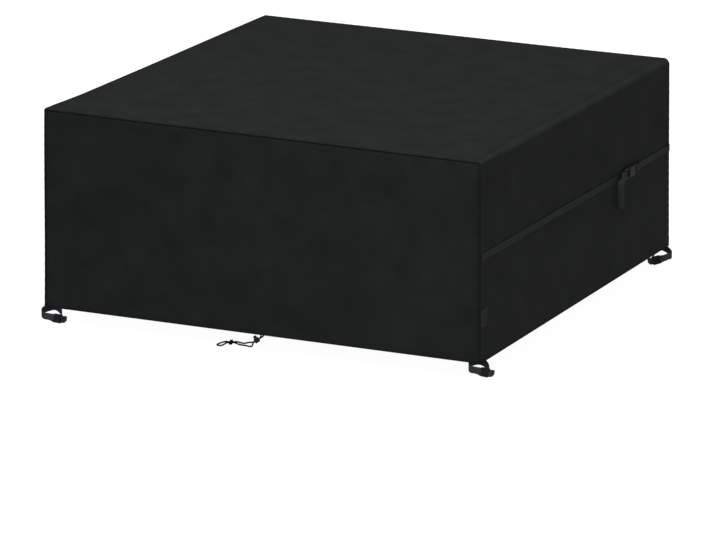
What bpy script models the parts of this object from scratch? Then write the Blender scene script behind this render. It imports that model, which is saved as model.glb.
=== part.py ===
# Patio furniture cover: a square, open-bottomed box of coated woven cloth.
# One wrap panel makes the left side, the top and the right side, and a front and a back panel
# are sewn into it. A webbing belt with a side-release buckle crosses the right side, a small tab
# is sewn into the front right seam, a webbing leg strap with a small buckle hangs at each hem
# corner, and a drawcord with a cord lock and a knotted end comes out of the front hem.
# Metres, +Z up, front towards -Y. The origin is the centre of the underside of the top.

import math

import bmesh
import bpy
import numpy as np
from mathutils import Matrix

# The cloth box
TOP_WIDTH = 1.65  # between the outer faces of the two sides, at the top
TOP_DEPTH = 1.66  # between the outer faces of front and back, at the top
COVER_HEIGHT = 0.702  # from the top face to the hem
CLOTH = 0.002
HEM_FLARE = 0.0086  # how far each face stands out at the hem
FRONT_FOLD = 0.009  # radius of the folds between top and sides, where they meet the front seam
SIDE_FOLD = 0.022  # and further back, where the cloth hangs softer
FOLD_EASE = 0.26  # length from the front in which the one grows into the other
SEAM_ROLL = 0.005  # radius at which the wrap panel rolls over into the front and back seams
SEAM_LAP = 0.001  # flat edge of the wrap panel beyond the roll
HEM_TURN = 0.028  # height of the hem, turned up inside
HEM_RADIUS = 0.0022  # outside radius of the fold at the hem's lower edge
WAVE = 0.0012  # how far the cloth swells in and out between its edges
GAP = 0.0003  # between pieces that meet
LIP = 0.001  # from the end of a buckle's socket to its first slot
GROUND = 0.069  # from the hem down to the surface that the cord lies on

HALF_WIDTH = TOP_WIDTH / 2
HALF_DEPTH = TOP_DEPTH / 2
HEM_Z = CLOTH - COVER_HEIGHT
GROUND_Z = HEM_Z - GROUND

# How much each corner sits above its even height, at the top and at the hem, in millimetres:
# (side, end, top, hem), where side -1 is left and end -1 is front
CORNER_LIFT = (
    (-1, -1, 4.3, -4.8),
    (1, -1, -4.3, 4.9),
    (1, 1, -1.5, -1.0),
    (-1, 1, 1.5, 0.0),
)

# Webbing
WEBBING_WIDTH = 0.025
WEBBING = 0.0016
BELT_DROP = 0.331  # from the top face down to the belt's centre line
BELT_STAND = 0.0016  # from the side panel's face to the belt's mid-plane
BELT_BUCKLE_AT = 0.390  # y of the end bar that the belt's loose end turns round
# The loose tail of the belt from that bar: millimetres towards the front, out from the side and
# down, and degrees that its width has turned from upright to outwards
BELT_TAIL = (
    (6, -0.2, 0, 0), (14, -2, 0, 0), (26, -5, 0, 3), (37, -2, 1.5, 25), (46, 3, 6, 55),
    (51.5, 5, 15, 80), (53.5, 4, 28, 90), (53, 4.6, 60, 90), (51, 4.8, 90, 88), (49, 5.4, 112, 85),
)

# Buckles, in metres; slot counts are of the tang's ladder and of the socket's end plate
BELT_BUCKLE = {"width": 0.038, "body": 0.044, "thick": 0.012, "plate": 0.005, "slot": 0.0075,
               "bar": 0.004, "tang_slots": 3, "socket_slots": 2}
LEG_BUCKLE = {"width": 0.032, "body": 0.022, "thick": 0.0085, "plate": 0.004, "slot": 0.0045,
              "bar": 0.003, "tang_slots": 1, "socket_slots": 1}

# The tab in the front right seam: its middle's drop below the top, and its free end's lift
SEAM_TAB = {"drop": 0.543, "height": 0.062, "reach": 0.038, "thick": 0.0012, "lift": 0.005}

# Leg straps: an open loop of webbing just below each hem corner.
# side, end: the corner. turn: +1 if the angle grows anticlockwise from the corner's diagonal.
# buckle: angle of the buckle in degrees. ladder: +1 if the loose end is at its greater angle.
# inset: from the cover's faces in to the middle of the loop; radius: of the loop; flat: from that
# middle to the buckle's mid-plane; down: how far the loop's mid-line lies below the hem at 0, 45
# to 315 degrees. All in millimetres.
LEG_STRAPS = {
    "front_left": {"side": -1, "end": -1, "turn": 1, "buckle": 110, "ladder": 1,
                   "inset": (20, 20), "radius": 36, "flat": 29,
                   "down": (26, 28, 34.5, 45, 34, 14, 16, 20)},
    "front_right": {"side": 1, "end": -1, "turn": -1, "buckle": -18, "ladder": -1,
                    "inset": (15, 21), "radius": 35, "flat": 28,
                    "down": (25.5, 18.6, 18.5, 13, 8, 11, 27.5, 35)},
    "back_right": {"side": 1, "end": 1, "turn": -1, "buckle": 151, "ladder": 1,
                   "inset": (21, 20), "radius": 36, "flat": 29,
                   "down": (29, 30.5, 31.5, 44, 54, 38, 15, 18)},
    "back_left": {"side": -1, "end": 1, "turn": -1, "buckle": 110, "ladder": 1,
                  "inset": (20, 20), "radius": 36, "flat": 29,
                  "down": (26, 28, 34, 44, 34, 14, 16, 20)},
}
LEG_SPREAD = math.radians(35)  # from the buckle's middle to where its chord leaves the loop
# The loose tail of a leg strap from its tip to the buckle: millimetres beyond the buckle's end
# bar, outwards and up, and degrees that its width leans outwards from the buckle's
LEG_TAIL = ((16, 9.5, 6, 42), (10.5, 6.8, 3.5, 22), (5.5, 4.2, 0.6, 0))

# Drawcord
CORD = 0.005
LOCK_RADIUS = 0.0095
LOCK_LENGTH = 0.018
LOCK_CENTRE = (-0.004, -0.836, -0.720)
LOCK_TILT = math.radians(35)  # the strands' slope through the lock, below level
BUTTON_RADIUS = 0.006
BUTTON_RISE = 0.008  # of the button's top above the barrel
STRAND_GAP = 0.0068  # between the two strands' centre lines in the lock and in the knot
KNOT_CENTRE = (-0.1336, -0.7761, GROUND_Z + 0.0092)
KNOT_HEADING = math.radians(203)  # direction of the strands through the knot, in plan
# The whole cord from one end in the hem to the other: through the lock, along the ground,
# through the knot, round the end loop and back. x, y, z in millimetres.
CORD_ROUTE = (
    (9.4, -829, -688), (9.4, -830.4, -705), (8.2, -831.6, -710), (4.6, -832.5, -713.9),
    (-11, -832.6, -724.8), (-20, -831.4, -729.8), (-50, -808, -741.9), (-82.9, -776.1, -757.4),
    (-101.1, -762.9, -761.6), (-114.1, -764.9, -758.9), (-123.9, -768.3, -759.3),
    (-134.9, -773, -759.8), (-146, -777.7, -759.3), (-155.6, -779.5, -759.3),
    (-167.6, -786.4, -763.5), (-173.1, -792.9, -765.3), (-174.5, -800.7, -766),
    (-171.4, -808.3, -766), (-163.8, -811.4, -766), (-156.2, -808.3, -766),
    (-153, -800.7, -766), (-151.1, -793.1, -764.5), (-148.5, -787.7, -761.9),
    (-143.3, -783.9, -760.1), (-132.3, -779.2, -759.8), (-121.2, -774.5, -760.1),
    (-113.1, -771.9, -763.3), (-104.1, -771.1, -766), (-82.1, -772.6, -766),
    (-51.8, -792.4, -760.4), (-36.4, -810.3, -752.4), (-25.7, -826.2, -742.7),
    (-18.1, -836.6, -732.3), (-11, -839.4, -724.9), (3, -839.4, -715.1), (10.5, -837.8, -709.9),
    (17.6, -833.8, -704.9), (21.1, -831.2, -701), (22.3, -829.5, -696), (22.3, -829, -688),
)
CORD_POINTS = 66

# Base colour, roughness and metallic value of each material
MATERIALS = {
    "coated_oxford": ((0.016, 0.018, 0.017), 0.72, 0.0),
    "webbing": ((0.024, 0.025, 0.026), 0.8, 0.0),
    "woven_tape": ((0.05, 0.052, 0.052), 0.6, 0.0),
    "moulded_acetal": ((0.03, 0.031, 0.032), 0.4, 0.0),
    "braided_cord": ((0.02, 0.02, 0.02), 0.85, 0.0),
}


def clear_scene():
    for obj in list(bpy.data.objects):
        bpy.data.objects.remove(obj, do_unlink=True)


def make_collection(name):
    collection = bpy.data.collections.new(name)
    bpy.context.scene.collection.children.link(collection)
    return collection


def make_materials():
    for name, (colour, roughness, metallic) in MATERIALS.items():
        material = bpy.data.materials.new(name)
        material.use_nodes = True
        shader = material.node_tree.nodes["Principled BSDF"]
        shader.inputs["Base Color"].default_value = (*colour, 1.0)
        shader.inputs["Roughness"].default_value = roughness
        shader.inputs["Metallic"].default_value = metallic


def add_object(name, mesh, collection, material):
    mesh.materials.clear()
    mesh.materials.append(bpy.data.materials[material])
    obj = bpy.data.objects.new(name, mesh)
    collection.objects.link(obj)
    return obj


def settled(points):
    """Points of the even box moved to where the hanging cloth has them: flared towards the hem,
    lifted or dropped at the corners, and swelling a little between the edges."""
    points = np.array(points, dtype=float)
    x, y, z = points[..., 0], points[..., 1], points[..., 2]
    down = (CLOTH - z) / COVER_HEIGHT
    across = x / HALF_WIDTH
    along = y / HALF_DEPTH
    lift = np.zeros_like(x)
    for side, end, top, hem in CORNER_LIFT:
        share = (1 + side * across) * (1 + end * along) / 4
        lift += share * (top * (1 - down) + hem * down) / 1000
    drum = np.sin(math.pi * np.clip(down, 0, 1))
    out_x = across * (HEM_FLARE * down + WAVE * drum * np.sin(7.1 * y + 3 * z + 0.6))
    out_y = along * (HEM_FLARE * down + WAVE * drum * np.sin(6.3 * x - 4 * z + 1.1))
    swell = WAVE * np.sin(4.6 * x) * np.sin(4.1 * y + 1.2 * x) * (1 - np.clip(down, 0, 1))
    return np.stack([x + out_x, y + out_y, z + lift + swell], axis=-1)


def grid_mesh(name, grid):
    """A mesh of quads over a grid of points, (rows, columns, 3)."""
    rows, columns = grid.shape[:2]
    index = np.arange(rows * columns).reshape(rows, columns)
    quads = np.stack(
        [index[:-1, :-1], index[:-1, 1:], index[1:, 1:], index[1:, :-1]], axis=-1
    ).reshape(-1, 4)
    mesh = bpy.data.meshes.new(name)
    mesh.from_pydata(grid.reshape(-1, 3).tolist(), [], quads.tolist())
    mesh.shade_smooth()
    return mesh


def add_thickness(obj, thickness, offset):
    solidify = obj.modifiers.new("thickness", "SOLIDIFY")
    solidify.thickness = thickness
    solidify.offset = offset
    solidify.use_even_offset = True


# The cloth panels


def hem_profile():
    """(inward, z) down the inner layer of the turned-up hem and round its fold."""
    profile = [(2 * HEM_RADIUS, HEM_Z + HEM_TURN), (2 * HEM_RADIUS, HEM_Z + HEM_RADIUS)]
    for step in (1, 2, 3):
        angle = math.pi * step / 4
        inward = HEM_RADIUS * (1 + math.cos(angle))
        profile.append((inward, HEM_Z + HEM_RADIUS * (1 - math.sin(angle))))
    return profile


def fold_radius(y):
    """Outside radius of the fold between top and side at y."""
    share = min(max((y + HALF_DEPTH) / FOLD_EASE, 0.0), 1.0)
    return FRONT_FOLD + (SIDE_FOLD - FRONT_FOLD) * share**2 * (3 - 2 * share)


def wrap_section(fold):
    """Rows of the wrap panel as (x, z, normal x, normal z, inward), left hem to right hem, for
    one radius of its folds."""
    side_top = CLOTH - fold
    right = [(HALF_WIDTH, z, 1.0, 0.0, inward) for inward, z in hem_profile()]
    for z in np.linspace(HEM_Z + HEM_RADIUS, side_top, 7):
        right.append((HALF_WIDTH, z, 1.0, 0.0, 0.0))
    for angle in np.linspace(0, math.pi / 2, 7)[1:]:
        x = HALF_WIDTH - fold * (1 - math.cos(angle))
        z = side_top + fold * math.sin(angle)
        right.append((x, z, math.cos(angle), math.sin(angle), 0.0))
    for x in np.linspace(HALF_WIDTH - fold, 0, 7)[1:]:
        right.append((x, CLOTH, 0.0, 1.0, 0.0))
    left = [(-x, z, -normal_x, normal_z, inward) for x, z, normal_x, normal_z, inward in right]
    return np.array(left + right[-2::-1])


def make_wrap_panel(collection):
    """Left side, top and right side in one cloth, its two ends rolled over into the seams."""
    flat = HALF_DEPTH - SEAM_ROLL
    quarter = math.pi / 2
    rolled = [(flat, quarter / 2, 0.0), (flat, quarter, 0.0), (flat, quarter, SEAM_LAP)]
    columns = [(-y, -angle, lap) for y, angle, lap in reversed(rolled)]
    columns += [(y - flat, 0.0, 0.0) for y in (0, 0.06, 0.12, 0.18, 0.25)]
    columns += [(y, 0.0, 0.0) for y in np.linspace(0.4 - flat, flat, 9)] + rolled
    centre_y, roll, lap = np.array(columns).T
    section = np.stack([wrap_section(fold_radius(y)) for y in centre_y], axis=1)
    x, z, normal_x, normal_z, inward = np.moveaxis(section, -1, 0)
    radius = SEAM_ROLL - inward
    sunk = SEAM_ROLL + lap - radius * np.cos(roll)
    grid = np.stack(
        np.broadcast_arrays(
            x - normal_x * sunk, centre_y + radius * np.sin(roll), z - normal_z * sunk
        ),
        axis=-1,
    )
    mesh = grid_mesh("wrap_panel", settled(grid[:, ::-1]))
    obj = add_object("wrap_panel", mesh, collection, "coated_oxford")
    add_thickness(obj, CLOTH, -1)


def make_end_panel(name, end, collection):
    """Front (end -1) or back (end +1) panel: flat, its top corners rounded into the wrap."""
    inset = SEAM_ROLL + SEAM_LAP + GAP
    half = HALF_WIDTH - inset
    top = CLOTH - inset
    radius = fold_radius(end * HALF_DEPTH) - SEAM_ROLL - SEAM_LAP
    angles = np.linspace(0, math.pi / 2, 5)
    corner_x = half - radius * (1 - np.cos(angles))
    corner_z = top - radius * (1 - np.sin(angles))
    inner_x = np.linspace(half - radius, 0, 7)[1:]
    x = np.concatenate([corner_x, inner_x])
    head = np.concatenate([corner_z, np.full(inner_x.size, top)])
    x = np.concatenate([x, -x[-2::-1]])
    head = np.concatenate([head, head[-2::-1]])
    hem = hem_profile()
    share = np.linspace(0, 1, 7)[:, None]
    face = HEM_Z + HEM_RADIUS + share * (head - HEM_Z - HEM_RADIUS)
    z = np.concatenate([np.tile([[z] for _, z in hem], x.size), face])
    inward = np.array([inward for inward, _ in hem] + [0.0] * len(face))[:, None]
    grid = np.stack(np.broadcast_arrays(x, end * (HALF_DEPTH - inward), z), axis=-1)
    mesh = grid_mesh(name, settled(grid[:, ::end]))
    obj = add_object(name, mesh, collection, "coated_oxford")
    add_thickness(obj, CLOTH, -1)


# Webbing


def unit(vectors):
    return vectors / np.linalg.norm(vectors, axis=-1, keepdims=True)


def make_band(name, points, across, width, thickness, collection, material):
    """A flat band carried along points, its width as near to the across vectors as it can be."""
    tangent = unit(np.gradient(points, axis=0))
    square = across - tangent * np.sum(tangent * across, axis=1, keepdims=True)
    half = unit(square) * width / 2
    mesh = grid_mesh(name, np.stack([points - half, points + half], axis=1))
    obj = add_object(name, mesh, collection, material)
    add_thickness(obj, thickness, 0)
    obj.modifiers.new("flat_faces", "TRIANGULATE")  # where a band twists, its quads aren't flat


def make_webbing(name, points, across, collection):
    make_band(name, points, across, WEBBING_WIDTH, WEBBING, collection, "webbing")


def bar_turn(size):
    """(a, n) steps of webbing round a ladder bar at a = 0, from its outer side to its inner
    side, turning on the +a side and keeping clear of the bar."""
    bar, wall, away = size["bar"] / 2, size["plate"] / 2, WEBBING / 2 + GAP
    outer = [(0, wall + away), (bar, wall + away), (bar + 0.7 * away, wall + 0.7 * away),
             (bar + away, wall)]
    return outer + [(a, -n) for a, n in reversed(outer)]


# Buckles: a runs from the tang (a < 0) to the socket (a > 0), b across, n outwards


def flat_piece(outline, holes, thickness):
    """A mesh cut from sheet: a closed outline with holes, centred on n = 0."""
    curve = bpy.data.curves.new("outline", "CURVE")
    curve.dimensions = "2D"
    curve.fill_mode = "BOTH"
    curve.extrude = thickness / 2
    for points in (outline, *holes):
        spline = curve.splines.new("POLY")
        spline.points.add(len(points) - 1)
        for point, (a, b) in zip(spline.points, points):
            point.co = (a, b, 0.0, 1.0)
        spline.use_cyclic_u = True
    return mesh_of(bpy.data.objects.new("outline", curve))


def mesh_of(obj):
    """The object's evaluated mesh, its loose caps welded, and the object removed."""
    bpy.context.scene.collection.objects.link(obj)
    graph = bpy.context.evaluated_depsgraph_get()
    mesh = bpy.data.meshes.new_from_object(obj.evaluated_get(graph))
    shape = bmesh.new()
    shape.from_mesh(mesh)
    bmesh.ops.remove_doubles(shape, verts=shape.verts, dist=1e-6)
    bmesh.ops.recalc_face_normals(shape, faces=shape.faces)
    shape.to_mesh(mesh)
    shape.free()
    bpy.data.objects.remove(obj)
    return mesh


def block_mesh(low, high, bevel=0.0):
    """A box between two corners, its edges rounded by bevel."""
    shape = bmesh.new()
    bmesh.ops.create_cube(shape, size=1.0)
    low, high = np.array(low), np.array(high)
    bmesh.ops.scale(shape, vec=tuple(high - low), verts=shape.verts)
    bmesh.ops.translate(shape, vec=tuple((high + low) / 2), verts=shape.verts)
    if bevel:
        bmesh.ops.bevel(shape, geom=shape.edges, offset=bevel, segments=2, profile=0.5,
                        affect="EDGES")
    mesh = bpy.data.meshes.new("block")
    shape.to_mesh(mesh)
    shape.free()
    return mesh


def combined(base, steps, cutters):
    """base after each (operation, mesh) step of EXACT Booleans."""
    obj = bpy.data.objects.new("base", base)
    for number, (operation, mesh) in enumerate(steps):
        tool = bpy.data.objects.new(f"tool_{number}", mesh)
        tool.hide_render = True
        tool.display_type = "WIRE"
        cutters.objects.link(tool)
        boolean = obj.modifiers.new(f"step_{number}", "BOOLEAN")
        boolean.operation = operation
        boolean.object = tool
    mesh = mesh_of(obj)
    for tool in list(cutters.objects):
        bpy.data.objects.remove(tool)
    return mesh


def chamfered(a_low, a_high, b_half, cut):
    """Corners of a rectangle with its corners cut off, anticlockwise."""
    return [(a_low + cut, -b_half), (a_high - cut, -b_half), (a_high, -b_half + cut),
            (a_high, b_half - cut), (a_high - cut, b_half), (a_low + cut, b_half),
            (a_low, b_half - cut), (a_low, -b_half + cut)]


def ladder_length(size, slots):
    return slots * (size["slot"] + size["bar"])


def ladder_slots(size, start, direction, slots):
    """Slot outlines of a ladder that begins at start and runs in direction +1 or -1 along a,
    each a little longer than the one before."""
    outlines = []
    for number in range(slots):
        reach = WEBBING_WIDTH / 2 + 0.0007 + 0.0003 * number
        near = start + direction * number * (size["slot"] + size["bar"])
        far = near + direction * size["slot"]
        outlines.append(chamfered(min(near, far), max(near, far), reach, 0.001))
    return outlines


def tang_bar(size):
    """Where the centre line of the tang's end bar lies along a."""
    return -ladder_length(size, size["tang_slots"]) - size["bar"] / 2


def socket_bar(size):
    """Where the centre line of the socket's end bar lies along a."""
    return size["body"] + LIP + ladder_length(size, size["socket_slots"]) - size["bar"] / 2


def tang_mesh(size):
    """The half with the prongs: a ladder plate, a shoulder and a tongue with two side catches."""
    half = size["width"] / 2
    body = size["body"]
    tongue = half - 0.0052
    catch = half - 0.0006
    shoulder = size["bar"]
    edge = -ladder_length(size, size["tang_slots"]) - shoulder
    cut = 0.003
    upper = [(edge, half - cut), (edge + cut, half), (-GAP, half), (-GAP, tongue),
             (0.30 * body, tongue), (0.34 * body, catch), (0.50 * body, catch),
             (0.60 * body, tongue), (0.72 * body, 0.7 * tongue)]
    outline = upper[::-1] + [(a, -b) for a, b in upper]
    slots = ladder_slots(size, -shoulder, -1, size["tang_slots"])
    return flat_piece(outline[::-1], slots, size["plate"])


def socket_mesh(size, cutters):
    """The half that the tongue enters: a body with a pocket and two side windows, and a plate."""
    half = size["width"] / 2
    body = size["body"]
    tall = size["thick"] / 2
    slots = size["socket_slots"]
    plate_end = body + LIP + ladder_length(size, slots)
    plate = flat_piece(chamfered(body - 0.003, plate_end, half - 0.001, 0.003),
                       ladder_slots(size, body + LIP, 1, slots), size["plate"])
    pocket = half - 0.0045
    near, far = 0.28 * body, 0.66 * body
    upper = [(0.78 * body, pocket - 0.001), (far, pocket), (far, half + 0.01),
             (near, half + 0.01), (near, pocket + 0.0003), (-0.01, pocket + 0.0007)]
    lower = [(a, -b) for a, b in reversed(upper)]
    room = flat_piece(upper + lower, [], size["plate"] + 0.001)
    return combined(
        block_mesh((0, -half, -tall), (body, half, tall), bevel=0.0022),
        [("UNION", plate), ("DIFFERENCE", room)],
        cutters,
    )


def frame_matrix(origin, a_axis, b_axis):
    """Placement of a piece whose own axes are a, b and n."""
    a_axis, b_axis = unit(np.array(a_axis)), unit(np.array(b_axis))
    n_axis = np.cross(a_axis, b_axis)
    rows = np.stack([a_axis, b_axis, n_axis, origin], axis=1)
    return Matrix(np.vstack([rows, [0, 0, 0, 1]]).tolist())


def place(name, mesh, matrix, collection, material):
    obj = add_object(name, mesh.copy(), collection, material)
    obj.matrix_world = matrix
    obj.data.shade_smooth()
    obj.data.set_sharp_from_angle(angle=math.radians(30))
    return obj


# The belt across the right side


def on_side(y, z):
    """A point on the right side's outer face."""
    return settled((HALF_WIDTH, y, z))


def make_belt(collection, cutters):
    size = BELT_BUCKLE
    level = CLOTH - BELT_DROP
    wall = size["plate"] / 2
    middle_y = BELT_BUCKLE_AT - tang_bar(size)
    centre = on_side(middle_y, level) + [size["thick"] / 2 + 0.001, 0, 0]
    matrix = frame_matrix(centre, (0, 1, 0), (0, 0, 1))
    place("belt_buckle_tang", tang_mesh(size), matrix, collection, "moulded_acetal")
    place("belt_buckle_socket", socket_mesh(size, cutters), matrix, collection,
          "moulded_acetal")

    def world(a, n):
        return centre + np.array([n, a, 0.0])

    # Front run: from the seam to the tang's end bar, round it, and down as the loose tail
    start = SEAM_ROLL - HALF_DEPTH
    bar = tang_bar(size)
    run = [on_side(y, level) + [BELT_STAND, 0, 0]
           for y in np.linspace(start, BELT_BUCKLE_AT - 0.05, 12)]
    turn = [world(bar + a, -n) for a, n in bar_turn(size)]
    run += [world(bar - 0.012, -wall - 0.001)] + turn
    upright = np.tile([0.0, 0.0, 1.0], (len(run), 1))
    tip = turn[-1]
    tail_points = [tip + np.array([out, -front, -down]) / 1000
                   for front, out, down, _ in BELT_TAIL]
    tail_across = [(math.sin(math.radians(twist)), 0.0, math.cos(math.radians(twist)))
                   for *_, twist in BELT_TAIL]
    make_webbing("belt_front_run", np.array(run + tail_points),
                 np.concatenate([upright, tail_across]), collection)

    # Back run: from the lap sewn behind the socket's end bar to the back seam
    bar = socket_bar(size)
    turn = [world(bar - a, n) for a, n in bar_turn(size)]
    lap = [world(bar + 0.03, wall + 0.0002), world(bar + 0.014, wall + 0.0006)]
    run = lap + turn + [world(bar + 0.012, -wall - 0.001)]
    run += [on_side(y, level) + [BELT_STAND, 0, 0]
            for y in np.linspace(run[-1][1] + 0.05, -start, 6)]
    upright = np.tile([0.0, 0.0, 1.0], (len(run), 1))
    make_webbing("belt_back_run", np.array(run), upright, collection)


def make_seam_tab(collection):
    """A plain woven tab sewn into the front right seam, its free end lifting off the side."""
    share = np.linspace(0, 1, 6)
    start = SEAM_LAP - HALF_DEPTH
    points = np.array([
        on_side(start + SEAM_TAB["reach"] * s, CLOTH - SEAM_TAB["drop"])
        + [SEAM_TAB["thick"] + SEAM_TAB["lift"] * s**2, 0, 0]
        for s in share
    ])
    upright = np.tile([0.0, 0.0, 1.0], (len(points), 1))
    make_band("seam_tab", points, upright, SEAM_TAB["height"], SEAM_TAB["thick"], collection,
              "woven_tape")


# The leg straps at the hem corners


def loop_height(strap, angle):
    """Height of the loop's mid-line from the hem: the closed curve through its eight values
    that a sum of four waves and their mean gives."""
    waves = np.fft.rfft(strap["down"]) / 8 * (1, 2, 2, 2, 1)
    turns = np.exp(1j * np.multiply.outer(angle, np.arange(5)))
    return -(turns * waves).real.sum(axis=-1) / 1000


def make_leg_strap(name, strap, meshes, collection):
    size = LEG_BUCKLE
    side, end = strap["side"], strap["end"]
    radius = strap["radius"] / 1000
    inset_x, inset_y = strap["inset"]
    middle = settled((side * HALF_WIDTH, end * HALF_DEPTH, HEM_Z))
    middle = middle - np.array([side * inset_x, end * inset_y, 0]) / 1000
    diagonal = math.atan2(end, side)

    def on_loop(angle, radius):
        heading = diagonal + strap["turn"] * np.asarray(angle)
        rise = loop_height(strap, np.asarray(angle))
        spread = np.stack([radius * np.cos(heading), radius * np.sin(heading), rise], axis=-1)
        return middle + spread

    # The buckle lies on a chord of the loop
    at = math.radians(strap["buckle"])
    ladder = strap["ladder"]
    tang_end = on_loop(at + ladder * LEG_SPREAD, radius)
    socket_end = on_loop(at - ladder * LEG_SPREAD, radius)
    a_axis = unit(socket_end - tang_end)
    up = np.array([0.0, 0.0, 1.0])
    b_axis = unit(up - a_axis * (a_axis @ up))
    outward = on_loop(at, 1) - on_loop(at, 0)
    if np.cross(a_axis, b_axis) @ outward < 0:
        b_axis = -b_axis
    n_axis = np.cross(a_axis, b_axis)
    upward = b_axis * np.sign(b_axis[2])
    shift = size["body"] / 2 + (size["socket_slots"] - size["tang_slots"]) * size["slot"] / 2
    chord_in = radius * math.cos(LEG_SPREAD) - strap["flat"] / 1000
    centre = (tang_end + socket_end) / 2 - outward * chord_in - a_axis * shift
    matrix = frame_matrix(centre, a_axis, b_axis)
    place(f"leg_buckle_tang_{name}", meshes["tang"], matrix, collection, "moulded_acetal")
    place(f"leg_buckle_socket_{name}", meshes["socket"], matrix, collection,
          "moulded_acetal")

    def world(a, n):
        return centre + a_axis * a + n_axis * n

    wall = size["plate"] / 2
    bar = tang_bar(size)
    tail = []
    tail_across = []
    for beyond, out, raised, lean in LEG_TAIL:
        tail.append(world(bar - beyond / 1000, out / 1000) + upward * raised / 1000)
        tail_across.append(upward * math.cos(math.radians(lean))
                           + n_axis * math.sin(math.radians(lean)))
    turn = [world(bar + a, n) for a, n in bar_turn(size)]
    turn.append(world(bar - 0.005, -wall - 0.0013))
    bar = socket_bar(size)
    lap = [world(bar + 0.007, wall + 0.0012), world(bar + 0.003, wall + 0.0013)]
    lap += [world(bar - a, n) for a, n in bar_turn(size)]
    lap += [world(bar + 0.004, -wall - 0.002), world(bar + 0.008, -wall - 0.0045)]
    away = np.linspace(50, 310, 24)
    loop = on_loop(at + ladder * np.radians(away), radius)
    # Both ends of the loop leave level with the buckle and reach their own heights by degrees
    share = np.clip(np.minimum(away - 50, 310 - away) / 30, 0, 1)
    short = ((loop - centre) @ upward) * (1 - share**2 * (3 - 2 * share))
    loop = loop - short[:, None] * upward
    points = np.concatenate([tail, turn, loop, lap])
    across = np.concatenate([
        tail_across,
        np.tile(upward, (len(turn), 1)),
        np.tile(up, (len(loop), 1)),
        np.tile(upward, (len(lap), 1)),
    ])
    make_webbing(f"leg_strap_{name}", points, across, collection)


# The drawcord


def evenly(points, count):
    """count points at even spacing along the straight pieces between points."""
    run = np.concatenate([[0], np.cumsum(np.linalg.norm(np.diff(points, axis=0), axis=1))])
    even = np.linspace(0, run[-1], count)
    return np.stack([np.interp(even, run, points[:, k]) for k in range(3)], axis=-1)


def smooth_route(points, count):
    """count points along a Catmull-Rom curve through points, its tighter bends eased."""
    points = np.array(points, dtype=float) / 1000
    padded = np.concatenate([2 * points[:1] - points[1:2], points, 2 * points[-1:] - points[-2:-1]])
    t = np.linspace(0, 1, 12, endpoint=False)[:, None]
    pieces = []
    for p0, p1, p2, p3 in zip(padded, padded[1:], padded[2:], padded[3:]):
        pieces.append(p1 + t * (p2 - p0) / 2 + t**2 * (2 * p0 - 5 * p1 + 4 * p2 - p3) / 2
                      + t**3 * (3 * p1 - p0 - 3 * p2 + p3) / 2)
    fine = evenly(np.concatenate(pieces + [points[-1:]]), 231)
    for _ in range(6):
        fine[1:-1] = (fine[:-2] + 2 * fine[1:-1] + fine[2:]) / 4
    return evenly(fine, count)


def make_tube(name, points, thickness, collection, material):
    curve = bpy.data.curves.new(name, "CURVE")
    curve.dimensions = "3D"
    curve.bevel_depth = thickness / 2
    curve.bevel_resolution = 2
    curve.use_fill_caps = True
    spline = curve.splines.new("POLY")
    spline.points.add(len(points) - 1)
    for point, place_at in zip(spline.points, points):
        point.co = (*place_at, 1.0)
    curve.materials.append(bpy.data.materials[material])
    obj = bpy.data.objects.new(name, curve)
    collection.objects.link(obj)


def turned(profile, steps):
    """A mesh turned about z from an (radius, z) profile that runs top to bottom."""
    shape = bpy.data.meshes.new("profile")
    count = len(profile)
    edges = [(k, k + 1) for k in range(count - 1)]
    shape.from_pydata([(radius, 0.0, z) for radius, z in profile], edges, [])
    obj = bpy.data.objects.new("profile", shape)
    screw = obj.modifiers.new("turn", "SCREW")
    screw.steps = steps
    screw.render_steps = steps
    screw.use_merge_vertices = True
    screw.merge_threshold = 1e-5
    return mesh_of(obj)


def make_cord_lock(collection, cutters):
    """A barrel that both strands pass through, and the button of its spring plunger."""
    radius, half = LOCK_RADIUS, LOCK_LENGTH / 2
    ease = 0.0025
    body = turned([(0, half), (radius - ease, half), (radius - 0.3 * ease, half - 0.3 * ease),
                   (radius, half - ease), (radius, ease - half),
                   (radius - 0.3 * ease, 0.3 * ease - half), (radius - ease, -half),
                   (0, -half)], 16)
    wide = (STRAND_GAP + CORD) / 2 + 0.0005
    tall = CORD / 2 + 0.0005
    slot = block_mesh((-0.02, -wide, -tall), (0.02, wide, tall))
    body = combined(body, [("DIFFERENCE", slot)], cutters)
    cap, rise = BUTTON_RADIUS, BUTTON_RISE
    button = turned([(0, half + rise), (cap - 0.0015, half + rise), (cap, half + rise - 0.0015),
                     (cap, half + GAP), (0, half + GAP)], 14)
    strand = (math.cos(LOCK_TILT), 0.0, math.sin(LOCK_TILT))
    matrix = frame_matrix(np.array(LOCK_CENTRE), strand, (0, 1, 0))
    place("cord_lock_body", body, matrix, collection, "moulded_acetal")
    place("cord_lock_button", button, matrix, collection, "moulded_acetal")


def make_knot(collection):
    """Two turns of the cord's end round both strands: an oval helix that clears them."""
    wide = STRAND_GAP / 2 + CORD + 0.0008
    tall = CORD + 0.0014
    turn = np.linspace(-2 * math.pi, 2 * math.pi, 27)
    pitch = CORD + GAP + 0.0002
    run = pitch * turn / (2 * math.pi)
    heading = np.array([math.cos(KNOT_HEADING), math.sin(KNOT_HEADING), 0.0])
    sideways = np.array([-heading[1], heading[0], 0.0])
    points = (np.array(KNOT_CENTRE) + run[:, None] * heading
              + wide * np.cos(turn)[:, None] * sideways
              + tall * np.sin(turn)[:, None] * np.array([0.0, 0.0, 1.0]))
    make_tube("cord_knot", points, CORD, collection, "braided_cord")


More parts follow.
